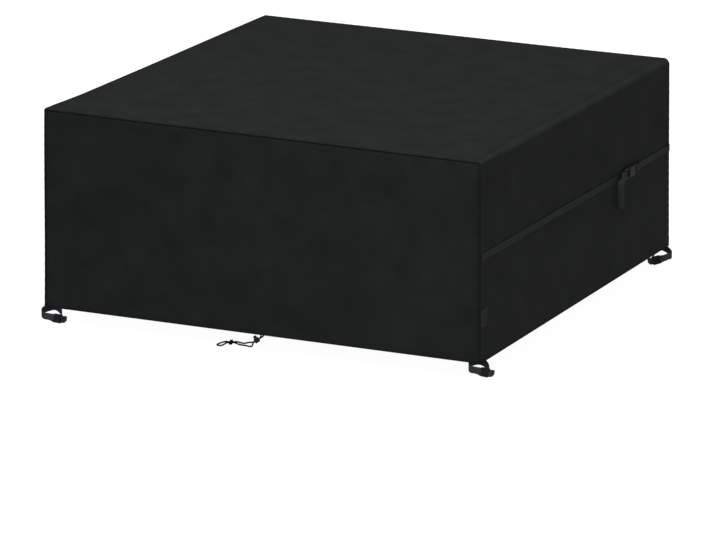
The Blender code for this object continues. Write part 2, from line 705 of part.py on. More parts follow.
def main():
    clear_scene()
    cover = make_collection("patio_furniture_cover")
    cutters = make_collection("cutters")
    make_materials()
    make_wrap_panel(cover)
    make_end_panel("front_panel", -1, cover)
    make_end_panel("back_panel", 1, cover)
    make_belt(cover, cutters)
    make_seam_tab(cover)
    meshes = {"tang": tang_mesh(LEG_BUCKLE), "socket": socket_mesh(LEG_BUCKLE, cutters)}
    for name, strap in LEG_STRAPS.items():
        make_leg_strap(name, strap, meshes, cover)
    make_tube("drawcord", smooth_route(CORD_ROUTE, CORD_POINTS), CORD, cover, "braided_cord")
    make_cord_lock(cover, cutters)
    make_knot(cover)


main()
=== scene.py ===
import math

import bpy
import numpy as np
from mathutils import Matrix, Vector

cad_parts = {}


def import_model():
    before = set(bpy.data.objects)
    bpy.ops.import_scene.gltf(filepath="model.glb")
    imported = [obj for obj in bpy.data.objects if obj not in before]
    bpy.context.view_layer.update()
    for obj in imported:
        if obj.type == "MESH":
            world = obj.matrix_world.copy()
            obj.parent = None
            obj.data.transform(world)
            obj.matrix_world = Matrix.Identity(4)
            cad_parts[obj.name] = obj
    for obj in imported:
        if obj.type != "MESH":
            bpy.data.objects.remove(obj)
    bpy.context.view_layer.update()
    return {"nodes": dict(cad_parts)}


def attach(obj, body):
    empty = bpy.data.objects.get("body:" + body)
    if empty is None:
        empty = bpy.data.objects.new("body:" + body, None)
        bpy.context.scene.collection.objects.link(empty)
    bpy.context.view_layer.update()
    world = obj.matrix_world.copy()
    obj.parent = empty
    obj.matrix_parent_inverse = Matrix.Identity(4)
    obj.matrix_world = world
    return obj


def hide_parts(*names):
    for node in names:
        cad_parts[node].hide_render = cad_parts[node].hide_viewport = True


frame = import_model()
print("frame loaded")

camera = {
    "azimuth": 25.705,  # degrees, towards +X from the front
    "elevation": 15.688,
    "distance": 15.165,
    "target": (0.4971, -1.0817, -0.3483),
    "lens": 231.4,  # mm, on a sensor 36 mm wide
}


def backVector(azimuth, elevation):
    # unit vector from the target to the camera: azimuth turned from -Y, elevation up
    a, e = math.radians(azimuth), math.radians(elevation)
    return np.array([math.sin(a) * math.cos(e), -math.cos(a) * math.cos(e), math.sin(e)])


def addCamera():
    data = bpy.data.cameras.new("camera")
    data.lens = camera["lens"]
    data.sensor_width = 36
    data.clip_end = 200
    eye = bpy.data.objects.new("camera", data)
    bpy.context.scene.collection.objects.link(eye)
    back = backVector(camera["azimuth"], camera["elevation"])
    eye.location = np.array(camera["target"]) + back * camera["distance"]
    right = np.cross(-back, (0, 0, 1))
    right = right / np.linalg.norm(right)
    top = np.cross(right, -back)
    eye.rotation_mode = "QUATERNION"
    eye.rotation_quaternion = Matrix(np.array([right, top, back]).T.tolist()).to_quaternion()
    bpy.context.scene.camera = eye


addCamera()
print("camera placed")


def linear(code):
    # sRGB hex to linear RGBA
    srgb = [int(code[k:k + 2], 16) / 255 for k in (1, 3, 5)]
    return [c / 12.92 if c <= 0.04045 else ((c + 0.055) / 1.055) ** 2.4 for c in srgb] + [1.0]


def addNode(tree, kind, settings=None, links=None):
    # one node; a link is (input name, node, output name)
    node = tree.nodes.new(kind)
    for key, value in (settings or {}).items():
        if isinstance(key, int) or key in node.inputs:
            node.inputs[key].default_value = value
        else:
            setattr(node, key, value)
    for name, source, output in links or ():
        tree.links.new(source.outputs[output], node.inputs[name])
    return node


def startMaterial(name, settings):
    material = bpy.data.materials.new(name)
    material.use_nodes = True
    tree = material.node_tree
    shader = tree.nodes["Principled BSDF"]
    for key, value in settings.items():
        shader.inputs[key].default_value = value
    return material, tree, shader


up = np.array([0.0, 0.0, 1.0])


def unit(vectors):
    return vectors / np.linalg.norm(vectors, axis=-1, keepdims=True)


def smoothstep(share):
    # 3 s^2 - 2 s^3 of the share held between 0 and 1
    share = np.clip(share, 0, 1)
    return share**2 * (3 - 2 * share)


def bell(distance, width):
    # e to the power -(distance / width)^2
    return np.exp(-((distance / width) ** 2))


def runAlong(path):
    # length of the path from its first point to each of its points
    return np.concatenate([[0], np.cumsum(np.linalg.norm(np.diff(path, axis=0), axis=1))])


def addPiece(name, data):
    piece = bpy.data.objects.new(name, data)
    bpy.context.scene.collection.objects.link(piece)
    return piece


def gridMesh(name, points, uv, material, wrapColumns=False, caps=False):
    # quads over a grid of points (rows, columns, 3), its uv in metres; wrapped columns share a
    # uv seam
    rows, columns = points.shape[:2]
    index = np.arange(rows * columns).reshape(rows, columns)
    r0 = np.arange(rows - 1)
    c0 = np.arange(columns if wrapColumns else columns - 1)
    r1, c1 = r0 + 1, (c0 + 1) % columns
    quads = np.stack([index[np.ix_(r0, c0)], index[np.ix_(r0, c1)],
                      index[np.ix_(r1, c1)], index[np.ix_(r1, c0)]], axis=-1).reshape(-1, 4)
    corner = np.stack([uv[np.ix_(r0, c0)], uv[np.ix_(r0, c0 + 1)],
                       uv[np.ix_(r0 + 1, c0 + 1)], uv[np.ix_(r0 + 1, c0)]], axis=-2)
    faces = quads.tolist()
    loopUv = corner.reshape(-1, 2)
    if caps:
        faces += [index[0].tolist()[::-1], index[-1].tolist()]
        ends = np.concatenate([uv[0, :columns][::-1], uv[-1, :columns]])
        loopUv = np.concatenate([loopUv, ends])
    mesh = bpy.data.meshes.new(name)
    mesh.from_pydata(points.reshape(-1, 3).tolist(), [], faces)
    layer = mesh.uv_layers.new(name="cloth")
    layer.data.foreach_set("uv", loopUv.reshape(-1))
    mesh.shade_smooth()
    mesh.materials.append(material)
    return addPiece(name, mesh)


def addPaintedShading(piece, values):
    # painted light and shade, one signed number a point: above 0 paler, below 0 darker
    layer = piece.data.attributes.new("paintedShading", "FLOAT", "POINT")
    layer.data.foreach_set("value", np.ascontiguousarray(values, dtype=np.float32).reshape(-1))


def addThickness(piece, thickness):
    # the sheet thickens inwards from its outer face
    solidify = piece.modifiers.new("thickness", "SOLIDIFY")
    solidify.thickness = thickness
    solidify.offset = -1
    solidify.use_even_offset = True


def dress(piece, slot, *nodes):
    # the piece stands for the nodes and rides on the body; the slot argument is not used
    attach(piece, "root")
    if nodes:
        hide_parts(*nodes)


def smoothRoute(points, step):
    # Catmull-Rom curve through the points, sampled at even steps along its length
    points = np.array(points, dtype=float)
    padded = np.concatenate([2 * points[:1] - points[1:2], points,
                             2 * points[-1:] - points[-2:-1]])
    p0, p1, p2, p3 = (padded[k:len(padded) - 3 + k, None] for k in range(4))
    t = np.linspace(0, 1, 24, endpoint=False)[None, :, None]
    fine = (p1 + t * (p2 - p0) / 2 + t**2 * (2 * p0 - 5 * p1 + 4 * p2 - p3) / 2
            + t**3 * (3 * p1 - p0 - 3 * p2 + p3) / 2)
    fine = np.concatenate([fine.reshape(-1, points.shape[1]), points[-1:]])
    run = runAlong(fine[:, :3])
    even = np.linspace(0, run[-1], max(2, round(run[-1] / step) + 1))
    return np.stack([np.interp(even, run, column) for column in fine.T], axis=-1)


def tubeMesh(name, path, radius, sides, material):
    # a circle carried along the path on frames turned as little as possible; uv is round, along
    tangent = unit(np.gradient(path, axis=0))
    normal = np.zeros_like(path)
    normal[0] = unit(np.cross(tangent[0], (0.31, 0.2, 0.93)))
    for k in range(1, len(path)):  # each frame comes from the one before
        normal[k] = unit(normal[k - 1] - tangent[k] * (normal[k - 1] @ tangent[k]))
    binormal = np.cross(tangent, normal)
    turn = np.linspace(0, 2 * math.pi, sides, endpoint=False)
    ring = normal[:, None] * np.cos(turn)[:, None] + binormal[:, None] * np.sin(turn)[:, None]
    points = path[:, None] + ring * radius
    run = runAlong(path)
    uv = np.stack(np.broadcast_arrays(
        np.linspace(0, 2 * math.pi * radius, sides + 1)[None, :], run[:, None]), axis=-1)
    return gridMesh(name, points, uv, material, wrapColumns=True, caps=True)


def bandScale(pitch):
    # scale of a wave texture that repeats once in each pitch, in metres
    return 2 * math.pi / 20 / pitch


def addPaintedShadingColour(tree, shader, colour, paintedShadingGain):
    # the mixed colour times 1 + gain x the painted shading, which is 0 unless the piece carries it
    paintedShading = addNode(tree, "ShaderNodeAttribute", {"attribute_name": "paintedShading"})
    gain = addNode(tree, "ShaderNodeMath", {"operation": "MULTIPLY_ADD", 1: paintedShadingGain, 2: 1.0},
                   [(0, paintedShading, "Fac")])
    worn = addNode(tree, "ShaderNodeHueSaturation", {}, [("Color", colour, 2), ("Value", gain, 0)])
    tree.links.new(worn.outputs["Color"], shader.inputs["Base Color"])


oxford = {
    "dark": "#171918",
    "light": "#1c1e1d",
    "weave": 0.004,  # drawn eight times coarser than the 0.5 mm yarns, which would not show
    "mottle": 0.11,  # size of the cloudy patches in the coating
    "paintedShadingGain": 0.32,  # colour gained where the painted shading is 1 (painted highlight), lost where it is -1 (painted shade)
}


def makeOxford():
    # 600 denier polyester Oxford, plain weave with a coated back: dull, with a faint dry sheen
    material, tree, shader = startMaterial("Oxford cloth, woven and coated", {
        "Roughness": 0.8, "IOR": 1.5, "Specular IOR Level": 0.02})
    coordinates = addNode(tree, "ShaderNodeTexCoord")
    bands = [addNode(tree, "ShaderNodeTexWave",
                     {"bands_direction": way, "Scale": bandScale(oxford["weave"]),
                      "Distortion": 0.6, "Detail": 1.0, "Detail Scale": 0.3},
                     [("Vector", coordinates, "UV")]) for way in ("X", "Y")]
    weave = addNode(tree, "ShaderNodeMath", {"operation": "MULTIPLY"},
                    [(0, bands[0], "Fac"), (1, bands[1], "Fac")])
    mottle = addNode(tree, "ShaderNodeTexNoise",
                     {"Scale": 1 / oxford["mottle"], "Detail": 5.0, "Roughness": 0.62},
                     [("Vector", coordinates, "Object")])
    blend = addNode(tree, "ShaderNodeMapRange",
                    {"From Min": 0.3, "From Max": 0.7, "To Min": 0.0, "To Max": 1.0},
                    [("Value", mottle, "Fac")])
    colour = addNode(tree, "ShaderNodeMix",
                     {"data_type": "RGBA", 6: linear(oxford["dark"]), 7: linear(oxford["light"])},
                     [(0, blend, "Result")])
    addPaintedShadingColour(tree, shader, colour, oxford["paintedShadingGain"])
    bump = addNode(tree, "ShaderNodeBump", {"Strength": 0.25, "Distance": 0.0004},
                   [("Height", weave, "Value")])
    tree.links.new(bump.outputs["Normal"], shader.inputs["Normal"])
    return material


webbingLook = {
    # dark and light of the weave: the hem straps are a shade paler and bluer than the belt
    "belt": ("#1b1c1d", "#252627"),
    "strap": ("#25262b", "#33343b"),
    "rib": 0.0025,  # across the width, about twice the real ribs so that they show
    "pick": 0.006,  # the slanting weft lines, four times coarser than real for the same reason
    "paintedShadingGain": 0.6,  # colour gained where the painted shading is 1, as a painted highlight
}


def makeWebbingMaterial(name, dark, light):
    # polypropylene webbing, woven flat: lengthwise ribs with a dull gleam
    material, tree, shader = startMaterial(name, {
        "Roughness": 0.7, "IOR": 1.49, "Specular IOR Level": 0.02})
    coordinates = addNode(tree, "ShaderNodeTexCoord")
    ribs = addNode(tree, "ShaderNodeTexWave",
                   {"bands_direction": "X", "Scale": bandScale(webbingLook["rib"]),
                    "Distortion": 0.3}, [("Vector", coordinates, "UV")])
    picks = addNode(tree, "ShaderNodeTexWave",
                    {"bands_direction": "DIAGONAL", "Scale": bandScale(webbingLook["pick"]),
                     "Distortion": 0.2}, [("Vector", coordinates, "UV")])
    weave = addNode(tree, "ShaderNodeMath", {"operation": "ADD"},
                    [(0, ribs, "Fac"), (1, picks, "Fac")])
    half = addNode(tree, "ShaderNodeMath", {"operation": "MULTIPLY", 1: 0.5},
                   [(0, weave, "Value")])
    colour = addNode(tree, "ShaderNodeMix",
                     {"data_type": "RGBA", 6: linear(dark), 7: linear(light)},
                     [(0, half, "Value")])
    addPaintedShadingColour(tree, shader, colour, webbingLook["paintedShadingGain"])
    bump = addNode(tree, "ShaderNodeBump", {"Strength": 0.5, "Distance": 0.0003},
                   [("Height", half, "Value")])
    tree.links.new(bump.outputs["Normal"], shader.inputs["Normal"])
    return material


acetal = {"colour": "#1d1e1e", "grain": 0.0007}  # grain a few times coarser than real


def makeAcetal():
    # black acetal, injection moulded with a fine spark-eroded grain: satin, its gloss turned low
    # because the white floor would fill it
    material, tree, shader = startMaterial("Acetal, injection moulded", {
        "Base Color": linear(acetal["colour"]), "Roughness": 0.42, "IOR": 1.48,
        "Specular IOR Level": 0.014})
    coordinates = addNode(tree, "ShaderNodeTexCoord")
    grain = addNode(tree, "ShaderNodeTexNoise",
                    {"Scale": 1 / acetal["grain"], "Detail": 2.0},
                    [("Vector", coordinates, "Object")])
    rough = addNode(tree, "ShaderNodeMapRange", {"To Min": 0.3, "To Max": 0.46},
                    [("Value", grain, "Fac")])
    tree.links.new(rough.outputs["Result"], shader.inputs["Roughness"])
    bump = addNode(tree, "ShaderNodeBump", {"Strength": 0.2, "Distance": 0.0001},
                   [("Height", grain, "Fac")])
    tree.links.new(bump.outputs["Normal"], shader.inputs["Normal"])
    return material


braid = {"dark": "#060606", "light": "#111212", "plait": 0.0026}  # twice the real plait


def makeBraid():
    # polyester cord, braided: crossing bundles round it, dry and dull
    material, tree, shader = startMaterial("Polyester cord, braided", {
        "Roughness": 0.8, "IOR": 1.5, "Specular IOR Level": 0.03})
    coordinates = addNode(tree, "ShaderNodeTexCoord")
    crossed = []
    for lean in (1, -1):
        turned = addNode(tree, "ShaderNodeMapping", {"Rotation": (0, 0, lean * 0.7)},
                         [("Vector", coordinates, "UV")])
        crossed.append(addNode(tree, "ShaderNodeTexWave",
                               {"bands_direction": "X", "Scale": bandScale(braid["plait"])},
                               [("Vector", turned, "Vector")]))
    over = addNode(tree, "ShaderNodeMath", {"operation": "MAXIMUM"},
                   [(0, crossed[0], "Fac"), (1, crossed[1], "Fac")])
    colour = addNode(tree, "ShaderNodeMix",
                     {"data_type": "RGBA", 6: linear(braid["dark"]), 7: linear(braid["light"])},
                     [(0, over, "Value")])
    tree.links.new(colour.outputs[2], shader.inputs["Base Color"])
    bump = addNode(tree, "ShaderNodeBump", {"Strength": 0.6, "Distance": 0.0004},
                   [("Height", over, "Value")])
    tree.links.new(bump.outputs["Normal"], shader.inputs["Normal"])
    return material


tape = {"dark": "#1d1e1e", "light": "#242525", "rib": 0.0018}  # coarser than the real ribs


def makeTape():
    # polyester tape, woven with satin ribs: a little lighter than the cloth round it
    material, tree, shader = startMaterial("Polyester tape, satin woven", {
        "Roughness": 0.6, "IOR": 1.5, "Specular IOR Level": 0.02})
    coordinates = addNode(tree, "ShaderNodeTexCoord")
    ribs = addNode(tree, "ShaderNodeTexWave",
                   {"bands_direction": "X", "Scale": bandScale(tape["rib"])},
                   [("Vector", coordinates, "UV")])
    colour = addNode(tree, "ShaderNodeMix",
                     {"data_type": "RGBA", 6: linear(tape["dark"]), 7: linear(tape["light"])},
                     [(0, ribs, "Fac")])
    tree.links.new(colour.outputs[2], shader.inputs["Base Color"])
    bump = addNode(tree, "ShaderNodeBump", {"Strength": 0.3, "Distance": 0.0002},
                   [("Height", ribs, "Fac")])
    tree.links.new(bump.outputs["Normal"], shader.inputs["Normal"])
    return material


thread = {"dark": "#1e2020", "light": "#2a2c2c", "twistScale": 900.0}  # cells in a metre


def makeThread():
    # bonded polyester sewing thread: twisted, with a slight gleam
    material, tree, shader = startMaterial("Polyester thread, twisted", {
        "Roughness": 0.45, "IOR": 1.5, "Specular IOR Level": 0.15})
    coordinates = addNode(tree, "ShaderNodeTexCoord")
    twist = addNode(tree, "ShaderNodeTexNoise", {"Scale": thread["twistScale"]},
                    [("Vector", coordinates, "Object")])
    colour = addNode(tree, "ShaderNodeMix",
                     {"data_type": "RGBA", 6: linear(thread["dark"]), 7: linear(thread["light"])},
                     [(0, twist, "Fac")])
    tree.links.new(colour.outputs[2], shader.inputs["Base Color"])
    return material


oxfordCloth = makeOxford()
beltWebbing = makeWebbingMaterial("Polypropylene webbing, woven black", *webbingLook["belt"])
strapWebbing = makeWebbingMaterial("Polypropylene webbing, woven slate", *webbingLook["strap"])
acetalPlastic = makeAcetal()
braidedCord = makeBraid()
satinTape = makeTape()
sewingThread = makeThread()
print("materials made")

drawcord = {
    "thickness": 0.005,
    "fuzz": 1.1,  # the braid drawn a tenth thicker than its core
    # both strands from the hem through the lock, along the ground, through the knot and round
    # the end loop, in metres
    "route": (
        (0.0094, -0.829, -0.688), (0.0094, -0.8304, -0.705), (0.0082, -0.8316, -0.71),
        (0.0046, -0.8325, -0.7139), (-0.011, -0.8326, -0.7248), (-0.02, -0.8314, -0.7298),
        (-0.05, -0.808, -0.7419), (-0.0829, -0.7761, -0.7574), (-0.1011, -0.7629, -0.7616),
        (-0.1141, -0.7649, -0.7589), (-0.1239, -0.7683, -0.7593), (-0.1349, -0.773, -0.7598),
        (-0.146, -0.7777, -0.7593), (-0.1556, -0.7795, -0.7593), (-0.1676, -0.7864, -0.7635),
        (-0.1731, -0.7929, -0.7653), (-0.1745, -0.8007, -0.766), (-0.1714, -0.8083, -0.766),
        (-0.1638, -0.8114, -0.766), (-0.1562, -0.8083, -0.766), (-0.153, -0.8007, -0.766),
        (-0.1511, -0.7931, -0.7645), (-0.1485, -0.7877, -0.7619), (-0.1433, -0.7839, -0.7601),
        (-0.1323, -0.7792, -0.7598), (-0.1212, -0.7745, -0.7601), (-0.1131, -0.7719, -0.7633),
        (-0.1041, -0.7711, -0.766), (-0.0821, -0.7726, -0.766), (-0.0518, -0.7924, -0.7604),
        (-0.0364, -0.8103, -0.7524), (-0.0257, -0.8262, -0.7427), (-0.0181, -0.8366, -0.7323),
        (-0.011, -0.8394, -0.7249), (0.003, -0.8394, -0.7151), (0.0105, -0.8378, -0.7099),
        (0.0176, -0.8338, -0.7049), (0.0211, -0.8312, -0.701), (0.0223, -0.8295, -0.696),
        (0.0223, -0.829, -0.688),
    ),
    "knotCentre": (-0.1336, -0.7761, -0.7598),
    "knotHeading": 203,  # degrees, the way the strands run through it
    "strandGap": 0.0068,
    "turnGap": 0.0005,  # between the knot's two turns
    "knotPlay": (0.0008, 0.0014),  # of its turns round the strands, sideways and upwards
    "steps": (0.00235, 0.0015),  # before and after the curve is evened out
    "sides": 12,
}


def addDrawcord():
    # a circle along the curve through the route, whose points are drawn six times towards their
    # neighbours' middle
    coarse, fine = drawcord["steps"]
    path = smoothRoute(drawcord["route"], coarse)
    for _ in range(6):
        path[1:-1] = (path[:-2] + 2 * path[1:-1] + path[2:]) / 4
    path = smoothRoute(path, fine)
    drawn = drawcord["thickness"] * drawcord["fuzz"]
    cord = tubeMesh("drawcordBraid", path, drawn / 2, drawcord["sides"], braidedCord)
    dress(cord, "braided_cord", "drawcord")
    # the knot: an oval helix of two turns round both strands
    size = drawcord["thickness"]
    turn = np.linspace(-2 * math.pi, 2 * math.pi, 90)
    heading = math.radians(drawcord["knotHeading"])
    along = np.array([math.cos(heading), math.sin(heading), 0])
    side = np.array([-along[1], along[0], 0])
    run = (size + drawcord["turnGap"]) * turn / (2 * math.pi)
    sideways, upwards = drawcord["knotPlay"]
    wide = drawcord["strandGap"] / 2 + size + sideways
    tall = size + upwards
    coil = (np.array(drawcord["knotCentre"]) + run[:, None] * along
            + wide * np.cos(turn)[:, None] * side
            + tall * np.sin(turn)[:, None] * up)
    knot = tubeMesh("cordKnotBraid", coil, drawn / 2, drawcord["sides"], braidedCord)
    dress(knot, "braided_cord", "cord_knot")


addDrawcord()

cover = {
    "width": 1.65,
    "depth": 1.66,
    "height": 0.702,  # from the top face to the hem
    "cloth": 0.002,
    "flare": 0.0086,  # how far each face stands out at the hem
    "frontFold": 0.009,  # radius of the folds beside the top at the front, and further back
    "sideFold": 0.022,
    "foldEase": 0.26,  # depth over which the folds open
    "seamRoll": 0.005,  # radius over which the wrap panel rolls into its seams
    "seamLap": 0.001,
    "seamGap": 0.0003,
    "seamDraw": (0.0026, 0.005),  # how deep and how wide the end panels draw in at their seams
    "hemTurn": 0.028,
    "hemRadius": 0.0022,
    "hemZone": 0.05,  # height above the hem that has finer rows
    "wave": 0.0012,
    "creaseFade": 0.05,  # creases fade out this near a seam
    "gatherFade": 0.012,
    # pitch and height of the gathers
    "wrapGathers": (0.031, 0.00035),
    "topGathers": (0.027, 0.0004),
    "uprightGathers": (0.034, 0.0003),
    "ground": 0.069,  # from the hem down to what the cord lies on
    # side, end, mm above the even height at the top and at the hem
    "cornerLift": ((-1, -1, 4.3, -4.8), (1, -1, -4.3, 4.9), (1, 1, -1.5, -1.0),
                   (-1, 1, 1.5, 0.0)),
}
halfWidth = cover["width"] / 2
halfDepth = cover["depth"] / 2
topZ = cover["cloth"]
hemZ = topZ - cover["height"]
groundZ = hemZ - cover["ground"]


def settle(points):
    # the even box moved to where the cloth hangs: flared to the hem, lifted or dropped at the
    # corners, swelling a little between its edges
    points = np.array(points, dtype=float)
    x, y, z = points[..., 0], points[..., 1], points[..., 2]
    down = (topZ - z) / cover["height"]
    across, along = x / halfWidth, y / halfDepth
    lift = np.zeros_like(x)
    for side, end, top, hem in cover["cornerLift"]:
        share = (1 + side * across) * (1 + end * along) / 4
        lift += share * (top * (1 - down) + hem * down) / 1000
    drum = np.sin(math.pi * np.clip(down, 0, 1))
    wave = cover["wave"]
    outX = across * (cover["flare"] * down + wave * drum * np.sin(7.1 * y + 3 * z + 0.6))
    outY = along * (cover["flare"] * down + wave * drum * np.sin(6.3 * x - 4 * z + 1.1))
    swell = wave * np.sin(4.6 * x) * np.sin(4.1 * y + 1.2 * x) * (1 - np.clip(down, 0, 1))
    return np.stack([x + outX, y + outY, z + lift + swell], axis=-1)


def ridge(a, b, start, end, width, height):
    # a soft ridge (or trough, if height is negative) along a line: a bell across it that fades
    # towards its two ends; a and b are the panel's two directions in metres
    ax, ay = start
    dx, dy = end[0] - ax, end[1] - ay
    span = math.hypot(dx, dy)
    along = ((a - ax) * dx + (b - ay) * dy) / span**2
    off = ((a - ax) * dy - (b - ay) * dx) / span
    fade = np.clip(np.sin(math.pi * np.clip(along, 0, 1)), 0, 1) ** 0.7
    return height * fade * bell(off, width)


# main creases: start and end on the panel, width and height, all in metres
topCreases = (
    ((-0.62, -0.70), (-0.05, -0.02), 0.030, 0.0013),
    ((-0.50, -0.76), (0.12, -0.15), 0.036, -0.0011),
    ((-0.30, -0.42), (0.30, 0.52), 0.040, 0.0012),
    ((0.02, -0.60), (0.52, 0.20), 0.034, 0.0012),
    ((0.20, -0.70), (0.70, -0.05), 0.028, -0.0010),
    ((-0.10, -0.10), (0.38, 0.72), 0.032, -0.0011),
    ((-0.75, -0.20), (-0.30, 0.40), 0.034, 0.0011),
    ((-0.60, 0.10), (-0.20, 0.70), 0.030, -0.0009),
    ((0.40, 0.05), (0.76, 0.60), 0.030, 0.0011),
    ((0.45, 0.40), (0.70, 0.78), 0.026, -0.0009),
)
frontCreases = (
    ((-0.78, -0.05), (-0.30, -0.34), 0.030, 0.0010),
    ((-0.70, -0.02), (-0.05, -0.26), 0.036, -0.0009),
    ((-0.42, -0.28), (-0.10, -0.62), 0.034, 0.0009),
    ((0.06, -0.10), (0.44, -0.46), 0.036, 0.0010),
    ((0.30, -0.06), (0.62, -0.40), 0.030, -0.0009),
    ((0.50, -0.30), (0.76, -0.64), 0.030, 0.0010),
    ((-0.75, -0.40), (-0.45, -0.66), 0.028, -0.0008),
)
sideCreases = (
    ((-0.76, -0.06), (-0.40, -0.30), 0.028, 0.0009),
    ((-0.30, -0.40), (0.20, -0.66), 0.034, 0.0009),
    ((0.10, -0.05), (0.50, -0.28), 0.030, -0.0008),
    ((-0.70, -0.42), (-0.36, -0.64), 0.028, -0.0008),
    ((0.30, -0.42), (0.72, -0.62), 0.030, 0.0009),
)


# how strongly the cloth is painted darker or paler, as painted light and shade and the darker hem,
# then how far it reaches and how far off, in metres
shading = {
    "hem": (0.65, 0.011),  # darker along the folded edge of the hem
    "hollowShade": (0.35, 0.011),  # painted shade, darker beside the long folds, as wide as it is far from them
    "seamHighlight": (0.45, 0.012, 0.016),  # painted highlight, paler down the side, beside the front seam
    "seamRoll": 0.9,  # painted shade, darker in the roll at the upright seams
    "seamGrooveShade": (0.4, 0.004),  # painted shade, darker on the end panels, beside those seams
    "topShine": 0.14,  # painted light, paler towards the far left of the top
    "endShine": 0.25,  # painted light, paler towards one side of the end panels
}


def hemShade(z):
    # a dark bell that stands on the hem's edge
    strength, reach = shading["hem"]
    return -strength * bell(z - hemZ, reach)


def relief(a, b, creases):
    # the sum of the ridges
    total = np.zeros(np.broadcast(a, b).shape)
    for start, end, width, height in creases:
        total += ridge(a, b, start, end, width, height)
    return total


def pucker(along, distance, gathers):
    # small gathers beside a seam: an uneven sine along it that dies away with the distance
    pitch, height = gathers
    return height * np.sin(2 * math.pi * along / pitch + 2.2 * np.sin(along * 9)) * np.exp(
        -distance / cover["gatherFade"])


def hemProfile():
    # inward distance and height straight down the turned-up inner layer and round a half circle
    radius = cover["hemRadius"]
    rise = np.linspace(hemZ + cover["hemTurn"], hemZ + radius, 7)[:-1]
    turn = np.linspace(0, math.pi, 9)[:-1]
    inward = np.concatenate([np.full(len(rise), 2 * radius), radius * (1 + np.cos(turn))])
    height = np.concatenate([rise, hemZ + radius - radius * np.sin(turn)])
    return inward, height


def foldRadius(y):
    # the folds open from the front radius to the side radius along a smoothstep
    share = smoothstep((y + halfDepth) / cover["foldEase"])
    return cover["frontFold"] + (cover["sideFold"] - cover["frontFold"]) * share


def wrapSection(fold):
    # up the side, round a quarter circle and over the top, from the right hem to the middle and
    # mirrored for the left, one column for each fold radius: x, z, normal x, normal z, inward;
    # and the length along the cloth
    even = np.ones_like(fold)
    inward, hemHeight = hemProfile()
    aboveHem = hemZ + cover["hemZone"]
    low = np.concatenate([hemHeight, np.linspace(hemZ + cover["hemRadius"], aboveHem, 12)[:-1]])
    rise = np.linspace(0, 1, 44)[:, None]
    angle = np.linspace(0, math.pi / 2, 13)[1:, None]
    over = np.linspace(1, 0, 58)[1:, None]
    upright = np.ones((len(low) + len(rise), 1))
    level = np.ones_like(over)
    x = np.concatenate([upright * halfWidth * even,
                        halfWidth - fold * (1 - np.cos(angle)), (halfWidth - fold) * over])
    z = np.concatenate([low[:, None] * even, aboveHem + rise * (topZ - fold - aboveHem),
                        topZ - fold * (1 - np.sin(angle)), topZ * even * level])
    normalX = np.concatenate([upright, np.cos(angle), 0 * level]) * even
    normalZ = np.concatenate([0 * upright, np.sin(angle), level]) * even
    inside = np.concatenate([inward, np.zeros(len(x) - len(inward))])[:, None] * even
    half = np.stack([x, z, normalX, normalZ, inside])
    left = half[:, :-1] * np.array([-1, 1, -1, 1, 1])[:, None, None]
    whole = np.concatenate([left, half[:, ::-1]], axis=1)
    outer = np.stack([whole[0] - whole[2] * whole[4], whole[1]])
    step = np.linalg.norm(np.diff(outer, axis=1), axis=0)
    run = np.concatenate([np.zeros((1, len(fold))), np.cumsum(step, axis=0)])
    return whole, run


def addWrapPanel():
    # rows follow the section from the left hem over the top to the right hem, columns run from
    # the front seam to the back seam and roll over a quarter circle at both; the last column at
    # either end laps down into the seam
    roll = cover["seamRoll"]
    flat = halfDepth - roll
    seamZone = 0.03
    angles = np.append(np.linspace(0, math.pi / 2, 7)[1:], math.pi / 2)
    near = np.linspace(flat - seamZone, flat, 7)[1:]
    middle = np.linspace(seamZone - flat, flat - seamZone, 100)
    rolled = np.full(len(angles), flat)
    y = np.concatenate([-rolled, -near[::-1], middle, near, rolled])
    turn = np.concatenate([-angles[::-1], np.zeros(len(near) * 2 + len(middle)), angles])
    lap = np.zeros_like(y)
    lap[[0, -1]] = cover["seamLap"]
    (x, z, normalX, normalZ, inward), run = wrapSection(foldRadius(y))
    radius = roll - inward
    sunk = roll + lap - radius * np.cos(turn)
    wrapped = y + radius * np.sin(turn)
    crease = (relief(x, wrapped, topCreases) * np.clip(normalZ, 0, 1) ** 2
              + relief(wrapped, z, sideCreases) * np.abs(normalX) ** 2 * (inward == 0))
    away = flat - np.abs(wrapped)
    crease = crease * np.clip(away / cover["creaseFade"], 0, 1)
    gather = pucker(run, np.clip(away, 0, 1), cover["wrapGathers"]) * (inward == 0)
    out = (crease + gather) - sunk
    grid = np.stack(np.broadcast_arrays(x + normalX * out, wrapped, z + normalZ * out), axis=-1)
    uv = np.stack(np.broadcast_arrays(wrapped, run), axis=-1)
    panel = gridMesh("wrapPanelCloth", settle(grid[:, ::-1]), uv[:, ::-1], oxfordCloth)
    # painted highlight round the folds and down the side beside the front seam, painted shade in
    # the upright seams and in the hollow along the top beside each fold, painted light to the
    # top's far left
    upright = np.abs(normalX)
    foldHighlight = 2 * upright * normalZ
    strength, reach = shading["hollowShade"]
    fromFold = halfWidth - foldRadius(y) - np.abs(x)
    hollowShade = strength * bell(fromFold - reach, reach) * normalZ
    strength, reach, distance = shading["seamHighlight"]
    edge = strength * bell(wrapped + halfDepth - distance, reach) * upright
    seamRollShade = shading["seamRoll"] * np.sin(turn) ** 2 * upright
    shine = shading["topShine"] * normalZ * (1 + (wrapped - x) / cover["width"])
    addPaintedShading(panel, (foldHighlight - hollowShade - seamRollShade + edge + shine + hemShade(z))[:, ::-1])
    addThickness(panel, cover["cloth"])
    dress(panel, "coated_oxford", "wrap_panel")


